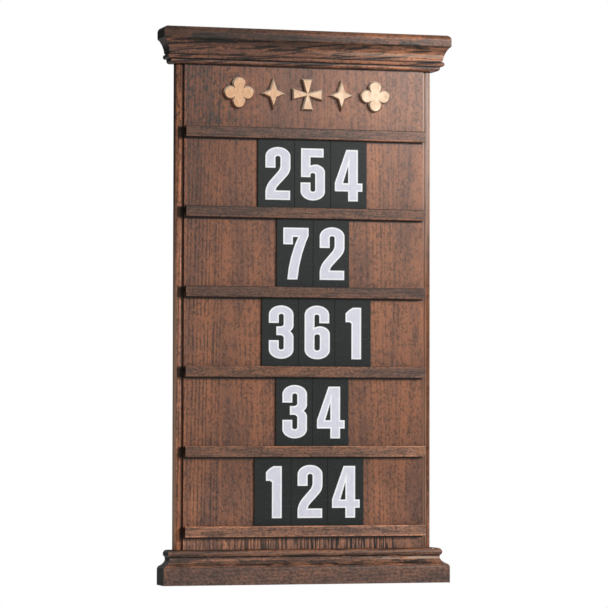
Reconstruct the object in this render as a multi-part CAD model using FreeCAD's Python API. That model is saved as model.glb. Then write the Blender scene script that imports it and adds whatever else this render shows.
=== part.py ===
"""Wall-hung hymn board: an oak back board with a mitred cornice and base, six rebated rails,
number cards that stand between the rails and slide along them, gilt ornaments in the header,
and keyhole hangers let into the back.

Millimetres. The origin is the middle of the back face, which lies against the wall.
+X is to the right as one faces the board, +Y goes into the wall, +Z is up.
"""

import FreeCAD
import Part

import math
import os

from FreeCAD import Vector

# ---------------------------------------------------------------- driving sizes

# Back board: three-quarter inch oak with a quirk and bead down both front edges, stopped behind the mouldings
board_width = 403.0
board_thickness = 19.0
bead_width = 9.2
quirk_width = 3.0

# Plain fields of the board that show between the pieces planted on it
header_field = 93.9
foot_field = 18.9

# Rails: T-section strips. The stem lies on the board, the lip stands in front of the grooves
rail_stem = 6.3
rail_lip = 8.5
rail_arris = 1.0
foot_rebate = 3.5

# Number rows and number cards
card_width = 57.2
card_window = 104.1
card_thickness = 3.0
card_corner = 1.5
card_arris = 0.3
card_spacing = 0.4
card_back_gap = 0.3
card_front_gap = 0.9
card_foot_gap = 0.2
card_head_hold = 2.7
card_lift_spare = 0.3
cards_per_row = [3, 2, 3, 2, 3]
row_middle_x = [11.2, 12.2, 18.0, 11.5, 6.8]

# Cornice, in bands from its underside up. "out" is how far a band stands off the board
cornice_foot_out = 7.5
cornice_foot_rise = 3.6
cornice_foot_swell = 0.9
cornice_fillet_out = 11.4
cornice_fillet_rise = 3.0
cornice_bead_out = 17.0
cornice_bead_rise = 7.0
cornice_quirk_rise = 1.5
cornice_cove_foot_out = 14.8
cornice_cove_rise = 19.7
cornice_cove_sink = 1.6
cornice_cove_top_out = 22.9
cornice_ovolo_rise = 4.5
cornice_ovolo_swell = 1.0
cornice_reach = 25.4
cornice_fascia_rise = 7.7
cornice_crown_round = 7.4

# Base, in bands from its underside up
plinth_reach = 23.6
plinth_rise = 22.2
plinth_shoulder_in = 3.8
plinth_shoulder_rise = 6.8
plinth_shoulder_swell = 1.3
base_cove_rise = 8.0
base_cove_sink = 1.2
base_fillet_out = 11.4
base_fillet_rise = 4.5
base_torus_rise = 11.0
base_torus_swell = 4.3
base_top_out = 8.8

# Gilt ornaments, a line of five across the header
ornament_pitch = 54.0
ornament_height = 47.5
ornament_thickness = 6.0
ornament_bevel = 2.0
ornament_line_x = 2.5
ornament_line_rise = 4.9
quatrefoil_lobe = 10.5
quatrefoil_heart = 11.0
star_width = 39.0
star_waist = 6.0
cross_arm_end = 9.0
cross_arm_neck = 3.6

# Keyhole hanger plates, let in flush with the back
hanger_spacing = 300.0
hanger_drop = 100.0
plate_width = 18.0
plate_height = 50.0
plate_thickness = 1.5
plate_corner = 3.0
plate_fit = 0.2
keyhole_entry_radius = 4.5
keyhole_slot_width = 4.6
keyhole_rise = 12.0
keyhole_pocket_depth = 9.0
keyhole_pocket_room = 1.5
plate_screw_edge = 5.5

# Countersunk wood screws, driven from the back and flush with it. "cover" is the wood left before the tip
rail_screw_head = 6.2
rail_screw_shank = 3.0
rail_screw_cover = 3.1
rail_screw_inset = 40.0
moulding_screw_head = 8.4
moulding_screw_shank = 4.2
moulding_screw_cover = 5.9
moulding_screw_inset = 45.0
moulding_screw_rise = 12.0
hanger_screw_head = 5.4
hanger_screw_shank = 2.8
hanger_screw_length = 12.7
screw_point = 0.3
screw_slot = 0.9
fastener_clearance = 0.1

# Headless pins through the returns into the edges of the board
pin_diameter = 1.6
pin_cover = 2.0
pin_bite = 15.0
pin_spacing = 8.0

# ---------------------------------------------------------------- worked-out sizes

rows = len(cards_per_row)
rail_count = rows + 1
groove_depth = card_back_gap + card_thickness + card_front_gap
rail_depth = groove_depth + rail_lip
head_rebate = foot_rebate + card_head_hold + card_lift_spare
rail_height = foot_rebate + rail_stem + head_rebate
cornice_height = (cornice_foot_rise + cornice_fillet_rise + cornice_bead_rise + cornice_quirk_rise
                  + cornice_cove_rise + cornice_ovolo_rise + cornice_fascia_rise + cornice_crown_round)
base_height = (plinth_rise + plinth_shoulder_rise + base_cove_rise + base_fillet_rise + base_torus_rise)
board_height = (base_height + foot_field + rail_count * rail_height + rows * card_window
                + header_field + cornice_height)

half_width = board_width / 2
board_top = board_height / 2
board_bottom = -board_height / 2
board_face = -board_thickness
cornice_bottom = board_top - cornice_height
base_top = board_bottom + base_height
panel_edge = half_width - bead_width - quirk_width
rail_length = 2 * panel_edge
rail_front = board_face - rail_depth
lip_back = board_face - groove_depth
rail_pitch = rail_height + card_window
header_rail_bottom = cornice_bottom - header_field - rail_height
card_height = card_window + foot_rebate - card_foot_gap + card_head_hold
card_pitch = card_width + card_spacing
hanger_z = board_top - hanger_drop
hanger_places = (-hanger_spacing / 2, hanger_spacing / 2)

# Screws as (head diameter, shank diameter, length)
rail_screw = (rail_screw_head, rail_screw_shank, board_thickness + rail_depth - rail_screw_cover)
moulding_screw = (moulding_screw_head, moulding_screw_shank,
                  board_thickness + min(cornice_reach, plinth_reach) - moulding_screw_cover)
hanger_screw = (hanger_screw_head, hanger_screw_shank, hanger_screw_length)

# A quarter circle of radius 1 stands this far off its chord
quarter_bow = 1 - math.sqrt(0.5)

# ---------------------------------------------------------------- shared shapes


def bowed(start, end, bow):
    """The middle of a straight run, moved out to the right of the run by bow."""
    run_a = end[0] - start[0]
    run_b = end[1] - start[1]
    length = math.hypot(run_a, run_b)
    return ((start[0] + end[0]) / 2 + bow * run_b / length, (start[1] + end[1]) / 2 - bow * run_a / length)


def closed_face(start, steps, place):
    """A flat face with its outline drawn anticlockwise. A step is the end of a straight run,
    or the end of an arc and how far that arc bows out of the face."""
    edges = []
    here = start
    for end_a, end_b, *bow in steps:
        there = (end_a, end_b)
        if bow:
            edges.append(Part.Arc(place(*here), place(*bowed(here, there, bow[0])), place(*there)).toShape())
        else:
            edges.append(Part.LineSegment(place(*here), place(*there)).toShape())
        here = there
    edges.append(Part.LineSegment(place(*here), place(*start)).toShape())
    return Part.Face(Part.Wire(edges))


def box_between(low, high):
    """A box from its lowest to its highest corner."""
    return Part.makeBox(high[0] - low[0], high[1] - low[1], high[2] - low[2], Vector(*low))


def rounded_plate(width, height, thickness, corner, middle_x, middle_z, back):
    """An upright plate with rounded corners whose back lies in the plane y = back."""
    low = (middle_x - width / 2, back - thickness, middle_z - height / 2)
    high = (middle_x + width / 2, back, middle_z + height / 2)
    plate = box_between(low, high)
    corners = [edge for edge in plate.Edges if abs(edge.tangentAt(edge.FirstParameter).y) > 0.99]
    return plate.makeFillet(corner, corners)


def screw_body(size, x, z, spare=0.0):
    """A countersunk screw driven forwards from the back face. spare grows it into its hole."""
    head_diameter, shank_diameter, length = size
    head = head_diameter / 2 + spare
    shank = shank_diameter / 2 + spare
    taper = shank_diameter
    steps = [
        (0, -length - spare),
        (screw_point + spare, -length - spare),
        (shank, taper - length),
        (shank, shank - head),
        (head, 0),
    ]
    half_section = closed_face((0, 0), steps, lambda r, y: Vector(x + r, y, z))
    return half_section.revolve(Vector(x, 0, z), Vector(0, 1, 0), 360)


def screw(size, x, z):
    """The screw itself, with a driver slot across its head."""
    reach = size[0]
    low = (x - reach, -screw_slot, z - screw_slot / 2)
    high = (x + reach, screw_slot, z + screw_slot / 2)
    return screw_body(size, x, z).cut(box_between(low, high))


def screw_holes(size, places):
    """The countersunk holes that a set of screws lies in."""
    return [screw_body(size, x, z, fastener_clearance) for x, z in places]


def cut_all(shape, tools):
    """The shape less every tool."""
    return shape.cut(Part.makeCompound(tools))


# ---------------------------------------------------------------- where the fasteners go


def rail_bottom(index):
    """Height of the underside of a rail, counted from the header rail down."""
    return header_rail_bottom - index * rail_pitch


def rail_screw_places(index):
    """Three screws in line along the stem of a rail."""
    z = rail_bottom(index) + head_rebate + rail_stem / 2
    outer = panel_edge - rail_screw_inset
    return [(x, z) for x in (-outer, 0, outer)]


def moulding_screw_places(z):
    """Three screws in line along the cornice or the base."""
    outer = half_width - moulding_screw_inset
    return [(x, z) for x in (-outer, 0, outer)]


def plate_screw_places(middle_x):
    """One screw near the top of a hanger plate and one near its foot."""
    reach = plate_height / 2 - plate_screw_edge
    return [(middle_x, hanger_z + reach), (middle_x, hanger_z - reach)]


cornice_screw_places = moulding_screw_places(board_top - moulding_screw_rise)
base_screw_places = moulding_screw_places(board_bottom + moulding_screw_rise)

# ---------------------------------------------------------------- cornice and base


def cornice_profile(place):
    """Section of the cornice, as (out from the board, up from its underside)."""
    fillet_foot = cornice_foot_rise
    bead_foot = fillet_foot + cornice_fillet_rise
    quirk_foot = bead_foot + cornice_bead_rise
    cove_foot = quirk_foot + cornice_quirk_rise
    cove_top = cove_foot + cornice_cove_rise
    fascia_foot = cove_top + cornice_ovolo_rise
    fascia_top = fascia_foot + cornice_fascia_rise
    bead_round = cornice_bead_rise / 2
    bead_root = cornice_bead_out - bead_round
    steps = [
        (cornice_foot_out, 0),
        (cornice_fillet_out, fillet_foot, cornice_foot_swell),
        (cornice_fillet_out, bead_foot),
        (bead_root, bead_foot),
        (bead_root, quirk_foot, bead_round),
        (bead_root, cove_foot),
        (cornice_cove_foot_out, cove_foot),
        (cornice_cove_top_out, cove_top, -cornice_cove_sink),
        (cornice_reach, fascia_foot, cornice_ovolo_swell),
        (cornice_reach, fascia_top),
        (cornice_reach - cornice_crown_round, cornice_height, quarter_bow * cornice_crown_round),
        (0, cornice_height),
    ]
    return closed_face((0, 0), steps, place)


def base_profile(place):
    """Section of the base, as (out from the board, up from its underside)."""
    cove_foot = plinth_rise + plinth_shoulder_rise
    cove_foot_out = plinth_reach - plinth_shoulder_in
    fillet_foot = cove_foot + base_cove_rise
    torus_foot = fillet_foot + base_fillet_rise
    steps = [
        (plinth_reach, 0),
        (plinth_reach, plinth_rise),
        (cove_foot_out, cove_foot, plinth_shoulder_swell),
        (base_fillet_out, fillet_foot, -base_cove_sink),
        (base_fillet_out, torus_foot),
        (base_top_out, base_height, base_torus_swell),
        (0, base_height),
    ]
    return closed_face((0, 0), steps, place)


def mitred_front(profile, foot_z, reach):
    """The front length of a moulding, cut at 45 degrees at both ends."""
    outer = half_width + reach
    front = board_face - reach
    section = profile(lambda out, up: Vector(-outer, board_face - out, foot_z + up))
    corners = [(-outer, front), (outer, front), (half_width, board_face)]
    plan = closed_face((-half_width, board_face), corners, lambda x, y: Vector(x, y, foot_z))
    return section.extrude(Vector(2 * outer, 0, 0)).common(plan.extrude(Vector(0, 0, board_height)))


def mitred_return(profile, foot_z, reach, side):
    """The short length of a moulding along one side of the board, from the wall to its mitre."""
    outer = side * (half_width + reach)
    front = board_face - reach
    section = profile(lambda out, up: Vector(side * (half_width + out), 0, foot_z + up))
    corners = [(side * half_width, board_face), (outer, front), (outer, 0)]
    plan = closed_face((side * half_width, 0), corners, lambda x, y: Vector(x, y, foot_z))
    return section.extrude(Vector(0, front, 0)).common(plan.extrude(Vector(0, 0, board_height)))


def return_pin(side, z, reach, spare=0.0):
    """A pin driven square into the edge of the board, its head sunk under the face of the return."""
    length = reach - pin_cover + pin_bite
    start = Vector(side * (half_width + reach - pin_cover + spare), board_face / 2, z)
    return Part.makeCylinder(pin_diameter / 2 + spare, length + 2 * spare, start, Vector(-side, 0, 0))


def return_pins(z, reach, spare=0.0, sides=(-1, 1)):
    """Two pins, one above the other, in each return at that height."""
    heights = (z - pin_spacing / 2, z + pin_spacing / 2)
    return [return_pin(side, height, reach, spare) for side in sides for height in heights]


def moulding_pieces(name, profile, foot_z, reach, screw_places):
    """The front, left return and right return of one moulding, bored for their screws and pins."""
    pin_z = screw_places[0][1]
    front = mitred_front(profile, foot_z, reach)
    pieces = {f"{name}_front": cut_all(front, screw_holes(moulding_screw, screw_places))}
    for side, hand in ((-1, "left"), (1, "right")):
        holes = return_pins(pin_z, reach, fastener_clearance, [side])
        pieces[f"{name}_return_{hand}"] = cut_all(mitred_return(profile, foot_z, reach, side), holes)
    return pieces


# ---------------------------------------------------------------- board


def beaded_stretch():
    """The board between base and cornice: a flat back, and a bead with its quirk down each front edge."""
    bead_round = bead_width / 2
    bead_root = board_face + bead_round
    steps = [
        (-half_width, bead_root),
        (bead_width - half_width, bead_root, bead_round),
        (-panel_edge, bead_root),
        (-panel_edge, board_face),
        (panel_edge, board_face),
        (panel_edge, bead_root),
        (half_width - bead_width, bead_root),
        (half_width, bead_root, bead_round),
        (half_width, 0),
    ]
    plan = closed_face((-half_width, 0), steps, lambda x, y: Vector(x, y, base_top))
    return plan.extrude(Vector(0, 0, cornice_bottom - base_top))


def squared_board():
    """The whole board, left square behind the mouldings so that they lie on it without a gap."""
    behind_base = box_between((-half_width, board_face, board_bottom), (half_width, 0, base_top))
    behind_cornice = box_between((-half_width, board_face, cornice_bottom), (half_width, 0, board_top))
    return beaded_stretch().fuse([behind_base, behind_cornice]).removeSplitter()


def keyhole(middle_x, depth, room=0.0):
    """A keyhole: a round entry with a narrower slot rising from it. room widens it all round."""
    entry = keyhole_entry_radius + room
    slot = keyhole_slot_width / 2 + room
    entry_z = hanger_z - keyhole_rise / 2
    slot_z = hanger_z + keyhole_rise / 2
    into_board = Vector(0, -1, 0)
    shape = Part.makeCylinder(entry, depth, Vector(middle_x, 0, entry_z), into_board)
    shape = shape.fuse(Part.makeCylinder(slot, depth, Vector(middle_x, 0, slot_z), into_board))
    return shape.fuse(box_between((middle_x - slot, -depth, entry_z), (middle_x + slot, 0, slot_z)))


def hanger_recess(middle_x):
    """The shallow recess of a hanger plate, and the deeper pocket for a screw head behind its keyhole."""
    width = plate_width + 2 * plate_fit
    height = plate_height + 2 * plate_fit
    recess = rounded_plate(width, height, plate_thickness, plate_corner + plate_fit, middle_x, hanger_z, 0)
    return [recess, keyhole(middle_x, keyhole_pocket_depth, keyhole_pocket_room)]


def back_board():
    """The back board, bored for every fastener and recessed for the hangers."""
    tools = []
    for index in range(rail_count):
        tools += screw_holes(rail_screw, rail_screw_places(index))
    for places, reach in ((cornice_screw_places, cornice_reach), (base_screw_places, plinth_reach)):
        tools += screw_holes(moulding_screw, places)
        tools += return_pins(places[0][1], reach, fastener_clearance)
    for middle_x in hanger_places:
        tools += hanger_recess(middle_x)
        tools += screw_holes(hanger_screw, plate_screw_places(middle_x))
    return cut_all(squared_board(), tools)


# ---------------------------------------------------------------- rails


def rail(index):
    """A rail: its stem lies on the board, and its lip hides the feet and heads of the cards."""
    low = rail_bottom(index)
    high = low + rail_height
    stem_low = low + head_rebate
    stem_high = high - foot_rebate
    arris_bow = quarter_bow * rail_arris
    steps = [
        (lip_back, stem_high),
        (lip_back, high),
        (rail_front + rail_arris, high),
        (rail_front, high - rail_arris, arris_bow),
        (rail_front, low + rail_arris),
        (rail_front + rail_arris, low, arris_bow),
        (lip_back, low),
        (lip_back, stem_low),
        (board_face, stem_low),
    ]
    section = closed_face((board_face, stem_high), steps, lambda y, z: Vector(-panel_edge, y, z))
    strip = section.extrude(Vector(rail_length, 0, 0))
    return cut_all(strip, screw_holes(rail_screw, rail_screw_places(index)))


# ---------------------------------------------------------------- number cards

card_names = {2: ("left", "right"), 3: ("left", "middle", "right")}


def number_card(row, place):
    """One stiff card, its foot and head held behind the lips of two rails."""
    count = cards_per_row[row]
    middle_x = row_middle_x[row] + (place - (count - 1) / 2) * card_pitch
    groove_floor = rail_bottom(row + 1) + rail_height - foot_rebate
    middle_z = groove_floor + card_foot_gap + card_height / 2
    back = board_face - card_back_gap
    card = rounded_plate(card_width, card_height, card_thickness, card_corner, middle_x, middle_z, back)
    front = back - card_thickness
    front_edges = [edge for edge in card.Edges if edge.BoundBox.YMax < front + card_arris]
    return card.makeChamfer(card_arris, front_edges)


# ---------------------------------------------------------------- ornaments


def raised_disc(x, z, radius):
    """A disc on the face of the board with a bevel round its front."""
    wall = ornament_thickness - ornament_bevel
    forwards = Vector(0, -1, 0)
    disc = Part.makeCylinder(radius, wall, Vector(x, board_face, z), forwards)
    shoulder = Vector(x, board_face - wall, z)
    return disc.fuse(Part.makeCone(radius, radius - ornament_bevel, ornament_bevel, shoulder, forwards))


def inset_corners(corners, inset):
    """The corners of an anticlockwise outline, moved in by the same distance from every side."""
    moved = []
    for before, here, after in zip(corners[-1:] + corners[:-1], corners, corners[1:] + corners[:1]):
        length_in = math.hypot(here[0] - before[0], here[1] - before[1])
        length_out = math.hypot(after[0] - here[0], after[1] - here[1])
        normal_in = ((before[1] - here[1]) / length_in, (here[0] - before[0]) / length_in)
        normal_out = ((here[1] - after[1]) / length_out, (after[0] - here[0]) / length_out)
        scale = inset / (1 + normal_in[0] * normal_out[0] + normal_in[1] * normal_out[1])
        moved.append((here[0] + scale * (normal_in[0] + normal_out[0]),
                      here[1] + scale * (normal_in[1] + normal_out[1])))
    return moved


def raised_outline(corners, x, z):
    """A straight-sided shape on the face of the board with a bevel round its front."""
    wall = ornament_thickness - ornament_bevel

    def outline(inset, out):
        points = [Vector(x + a, board_face - out, z + b) for a, b in inset_corners(corners, inset)]
        return Part.makePolygon(points + points[:1])

    body = Part.Face(outline(0, 0)).extrude(Vector(0, -wall, 0))
    bevel = Part.makeLoft([outline(0, wall), outline(ornament_bevel, ornament_thickness)], True, True)
    return body.fuse(bevel)


def quatrefoil(x, z):
    """Four round lobes about a round heart."""
    reach = ornament_height / 2 - quatrefoil_lobe
    shape = raised_disc(x, z, quatrefoil_heart)
    for step_x, step_z in ((reach, 0), (0, reach), (-reach, 0), (0, -reach)):
        shape = shape.fuse(raised_disc(x + step_x, z + step_z, quatrefoil_lobe))
    return shape


def four_point_star(x, z):
    """A star of four points, taller than it is wide."""
    tall = ornament_height / 2
    wide = star_width / 2
    corners = [(wide, 0), (star_waist, star_waist), (0, tall), (-star_waist, star_waist),
               (-wide, 0), (-star_waist, -star_waist), (0, -tall), (star_waist, -star_waist)]
    return raised_outline(corners, x, z)


def flared_cross(x, z):
    """A cross of four equal arms that widen towards their ends."""
    reach = ornament_height / 2
    end = cross_arm_end
    neck = cross_arm_neck
    corners = [(reach, -end), (reach, end), (neck, neck), (end, reach), (-end, reach), (-neck, neck),
               (-reach, end), (-reach, -end), (-neck, -neck), (-end, -reach), (end, -reach), (neck, -neck)]
    return raised_outline(corners, x, z)


def ornaments():
    """The five ornaments in line, each glued to the header field."""
    z = (cornice_bottom + header_rail_bottom + rail_height) / 2 + ornament_line_rise
    kinds = {
        "quatrefoil_left": (quatrefoil, -2),
        "star_left": (four_point_star, -1),
        "cross_centre": (flared_cross, 0),
        "star_right": (four_point_star, 1),
        "quatrefoil_right": (quatrefoil, 2),
    }
    return {name: make(ornament_line_x + place * ornament_pitch, z) for name, (make, place) in kinds.items()}


# ---------------------------------------------------------------- hangers


def hanger_plate(middle_x):
    """A steel plate with a keyhole, let in flush and held by two small screws."""
    plate = rounded_plate(plate_width, plate_height, plate_thickness, plate_corner, middle_x, hanger_z, 0)
    holes = screw_holes(hanger_screw, plate_screw_places(middle_x))
    return cut_all(plate, holes + [keyhole(middle_x, 2 * plate_thickness)])


# ---------------------------------------------------------------- assembly


def screws_at(size, places):
    """Loose screws of one size as one group of solids."""
    return Part.makeCompound([screw(size, x, z) for x, z in places])


def fasteners():
    """Every screw and pin, in one node for each kind."""
    rail_places = [place for index in range(rail_count) for place in rail_screw_places(index)]
    plate_places = [place for middle_x in hanger_places for place in plate_screw_places(middle_x)]
    cornice_pins = return_pins(cornice_screw_places[0][1], cornice_reach)
    base_pins = return_pins(base_screw_places[0][1], plinth_reach)
    return {
        "rail_screws": screws_at(rail_screw, rail_places),
        "cornice_screws": screws_at(moulding_screw, cornice_screw_places),
        "base_screws": screws_at(moulding_screw, base_screw_places),
        "hanger_screws": screws_at(hanger_screw, plate_places),
        "return_pins": Part.makeCompound(cornice_pins + base_pins),
    }


def all_nodes():
    """Every piece of the hymn board by name."""
    nodes = {"back_board": back_board()}
    nodes.update(moulding_pieces("cornice", cornice_profile, cornice_bottom, cornice_reach,
                                 cornice_screw_places))
    nodes.update(moulding_pieces("base", base_profile, board_bottom, plinth_reach, base_screw_places))
    for index in range(rail_count):
        name = "header_rail" if index == 0 else f"rail_{index}"
        nodes[name] = rail(index)
    for row, count in enumerate(cards_per_row):
        for place, name in enumerate(card_names[count]):
            nodes[f"row{row + 1}_card_{name}"] = number_card(row, place)
    nodes.update(ornaments())
    for middle_x, hand in zip(hanger_places, ("left", "right")):
        nodes[f"hanger_plate_{hand}"] = hanger_plate(middle_x)
    nodes.update(fasteners())
    return nodes


os.makedirs("parts", exist_ok=True)
for node_name, node_shape in all_nodes().items():
    node_shape.exportStep(os.path.join("parts", node_name + ".step"))
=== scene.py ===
import math

import bmesh
import bpy
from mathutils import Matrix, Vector


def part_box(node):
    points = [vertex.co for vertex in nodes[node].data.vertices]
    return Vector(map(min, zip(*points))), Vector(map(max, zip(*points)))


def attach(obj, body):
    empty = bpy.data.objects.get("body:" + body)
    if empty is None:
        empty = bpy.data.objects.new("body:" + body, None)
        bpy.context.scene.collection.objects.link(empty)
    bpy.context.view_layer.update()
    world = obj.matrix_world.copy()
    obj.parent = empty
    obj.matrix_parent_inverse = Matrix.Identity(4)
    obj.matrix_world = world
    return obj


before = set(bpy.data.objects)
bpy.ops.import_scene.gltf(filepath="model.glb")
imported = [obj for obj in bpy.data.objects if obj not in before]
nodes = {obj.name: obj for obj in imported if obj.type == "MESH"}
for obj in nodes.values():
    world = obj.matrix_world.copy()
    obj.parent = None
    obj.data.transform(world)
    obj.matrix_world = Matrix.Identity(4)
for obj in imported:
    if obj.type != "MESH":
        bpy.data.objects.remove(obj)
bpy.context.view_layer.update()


# The studio. The board is seen from about five metres off, a little from its left and from below its middle.
# Two soft lamps stand to the right of it and above its middle, a third lights its back, and white paper all
# round fills the shadows. The pale floor lies far below, because the board hangs on a wall.
scene = bpy.context.scene
scene.view_settings.view_transform = "Standard"

lens_length = 194.85
sensor_width = 36
viewpoint_place = (-1.423, -4.805, -0.1686)
viewpoint_rise = 1.985
viewpoint_turn = -16.5505
viewpoint_roll = -0.11

lamp_spots = {
    "lamp": ((3.0, -3.4, 1.3), 131),
    "window_lamp": ((1.735, -4.0, 0.91), 27),
    "rear_lamp": ((1.7, 2.6, 1.1), 75),
}
lamp_size = 0.6
paper_white = (1, 1, 1, 1)
paper_fill = 0.2
paper_seen = 1.0
floor_drop = -1.25
floor_reach = 3.2
floor_grey = (0.84, 0.84, 0.83, 1)
floor_roughness = 0.9


def connect(node, feeds):
    """Feeds the sockets of a node, each with a value or with another node's output."""
    for socket, feed in feeds.items():
        if isinstance(feed, bpy.types.NodeSocket):
            node.id_data.links.new(feed, node.inputs[socket])
        else:
            node.inputs[socket].default_value = feed


def layer(tree, kind, choices, feeds):
    """One node of a finish, with its settings and what feeds its sockets."""
    made = tree.nodes.new("ShaderNode" + kind)
    for name, choice in choices.items():
        setattr(made, name, choice)
    connect(made, feeds)
    return made


def tree_of(*feeds):
    """The tree that these feeds belong to. At least one of them is a node's output."""
    return next(feed.id_data for feed in feeds if isinstance(feed, bpy.types.NodeSocket))


def reckon(operation, *feeds):
    """A sum on one or two numbers of a finish."""
    return layer(tree_of(*feeds), "Math", {"operation": operation}, dict(enumerate(feeds))).outputs[0]


def new_finish(name):
    """A material that a finish is built up on."""
    finish = bpy.data.materials.new(name)
    finish.use_nodes = True
    return finish


def shader_of(finish):
    """The node that takes the colour, the gloss and the relief of a finish."""
    return finish.node_tree.nodes["Principled BSDF"]


viewpoint_lens = bpy.data.cameras.new("viewpoint")
viewpoint_lens.sensor_width = sensor_width
viewpoint_lens.lens = lens_length
viewpoint = bpy.data.objects.new("viewpoint", viewpoint_lens)
viewpoint.location = viewpoint_place
viewpoint.rotation_euler = (
    math.radians(90 + viewpoint_rise), math.radians(viewpoint_roll), math.radians(viewpoint_turn)
)
scene.collection.objects.link(viewpoint)
scene.camera = viewpoint

for lamp_name, (spot, watts) in lamp_spots.items():
    lamp_light = bpy.data.lights.new(lamp_name, "AREA")
    lamp_light.shape = "DISK"
    lamp_light.size = lamp_size
    lamp_light.energy = watts
    lamp = bpy.data.objects.new(lamp_name, lamp_light)
    lamp.location = spot
    lamp.rotation_euler = (-Vector(spot)).to_track_quat("-Z", "Y").to_euler()
    scene.collection.objects.link(lamp)

paper = bpy.data.worlds.new("white_paper")
paper.use_nodes = True
scene.world = paper
rays = layer(paper.node_tree, "LightPath", {}, {})
seen = reckon("MAXIMUM", rays.outputs["Is Camera Ray"], rays.outputs["Is Glossy Ray"])
seen = reckon("MAXIMUM", seen, rays.outputs["Is Transmission Ray"])
strength = layer(paper.node_tree, "MapRange", {}, {"Value": seen, "To Min": paper_fill, "To Max": paper_seen})
surround = {"Color": paper_white, "Strength": strength.outputs["Result"]}
connect(paper.node_tree.nodes["Background"], surround)

floor_shape = bmesh.new()
bmesh.ops.create_grid(floor_shape, x_segments=1, y_segments=1, size=floor_reach)
bmesh.ops.translate(floor_shape, verts=floor_shape.verts, vec=(0, 0, floor_drop))
floor_mesh = bpy.data.meshes.new("studio_floor")
floor_shape.to_mesh(floor_mesh)
floor_shape.free()
studio_floor = bpy.data.objects.new("studio_floor", floor_mesh)
scene.collection.objects.link(studio_floor)
floor_paint = new_finish("floor_paint")
connect(shader_of(floor_paint), {"Base Color": floor_grey, "Roughness": floor_roughness})
floor_mesh.materials.append(floor_paint)


# The back board. Plain-sawn oak staves are glued edge to edge, planed, stained mid brown and lacquered. The
# grain runs upright, and a quirk and bead is scratched down each front edge. Shadow is painted into the left
# quirk, under the cornice and the rails, and round the rails' left ends, and painted light brightens parts of
# the beads and the right quirk. Everything else is screwed, pinned or glued to it.
board_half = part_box("back_board")[1].x
panel_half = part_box("header_rail")[1].x
quirk_width = 0.0030
quirk_middle = panel_half + 0.0014
quirk_half = 0.0012
bead_start = panel_half + quirk_width
bead_flank = bead_start + 0.0003
bead_rise = bead_start + 0.0007
bead_crown = board_half - 0.0035
front_edge = 0.0009
back_end = -0.0040
fore_start = -0.0100
fore_whole = -0.0130

last_joint = -0.130
stave_step = 0.090
last_stave_shift = 0.17


def tint(red, green, blue):
    """A colour as a paint card gives it, from 0 to 255, as the light that the shader wants."""
    shares = [value / 255 for value in (red, green, blue)]
    return [v / 12.92 if v <= 0.04045 else ((v + 0.055) / 1.055) ** 2.4 for v in shares] + [1.0]


oak_orange = tint(158, 102, 72)
oak_brown = tint(116, 79, 62)
oak_mauve = tint(90, 65, 55)
oak_dark = tint(62, 48, 43)
oak_pore = tint(34, 31, 29)
oak_edge_and_shade = tint(26, 26, 25)
oak_bare = tint(158, 120, 88)
end_stain = tint(68, 72, 72)

bead_painted_light = tint(226, 184, 158)
bead_painted_sheen = tint(248, 234, 225)
quirk_painted_light = tint(214, 170, 144)
quirk_painted_sheen = tint(250, 232, 220)
sheen_grey = tint(200, 172, 158)
edge_worn = tint(214, 174, 148)
header_black = tint(40, 42, 39)
end_shadow_black = tint(52, 53, 49)

lie_of_grain = {"x": (0, -math.pi / 2, 0), "y": (math.pi / 2, 0, 0), "z": (0, 0, 0)}


def band(value, low, high):
    """Nought below low and one above high, with a soft step between. Low above high turns it round."""
    feeds = {"Value": value, "From Min": low, "From Max": high}
    return layer(tree_of(value), "MapRange", {"interpolation_type": "SMOOTHSTEP"}, feeds).outputs["Result"]


def product(*amounts):
    """Several amounts of a finish multiplied together, the first of them or the second a node's output."""
    result = amounts[0]
    for amount in amounts[1:]:
        result = reckon("MULTIPLY", result, amount)
    return result


def rest_of(amount):
    """What an amount leaves of one."""
    return reckon("SUBTRACT", 1.0, amount)


def over(amount, below, above):
    """One colour laid over another, as far as amount says, from 0 to 1."""
    feeds = {"Factor": amount, 6: below, 7: above}
    return layer(tree_of(amount, below, above), "Mix", {"data_type": "RGBA"}, feeds).outputs[2]


def vector_sum(operation, *feeds):
    """A sum on one or two places or colours of a finish."""
    return layer(tree_of(*feeds), "VectorMath", {"operation": operation}, dict(enumerate(feeds))).outputs[0]


def spread(finish, kind="Object"):
    """The numbers X, Y and Z of a place on the piece in metres, or with Normal of the way that it faces."""
    tree = finish.node_tree
    return layer(tree, "SeparateXYZ", {}, {0: layer(tree, "TexCoord", {}, {}).outputs[kind]}).outputs


def relief(height, strength, depth):
    """The lean that a fine relief gives a surface. A height of one stands out by depth, in metres."""
    feeds = {"Height": height, "Strength": strength, "Distance": depth}
    return layer(tree_of(height), "Bump", {}, feeds).outputs["Normal"]


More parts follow.
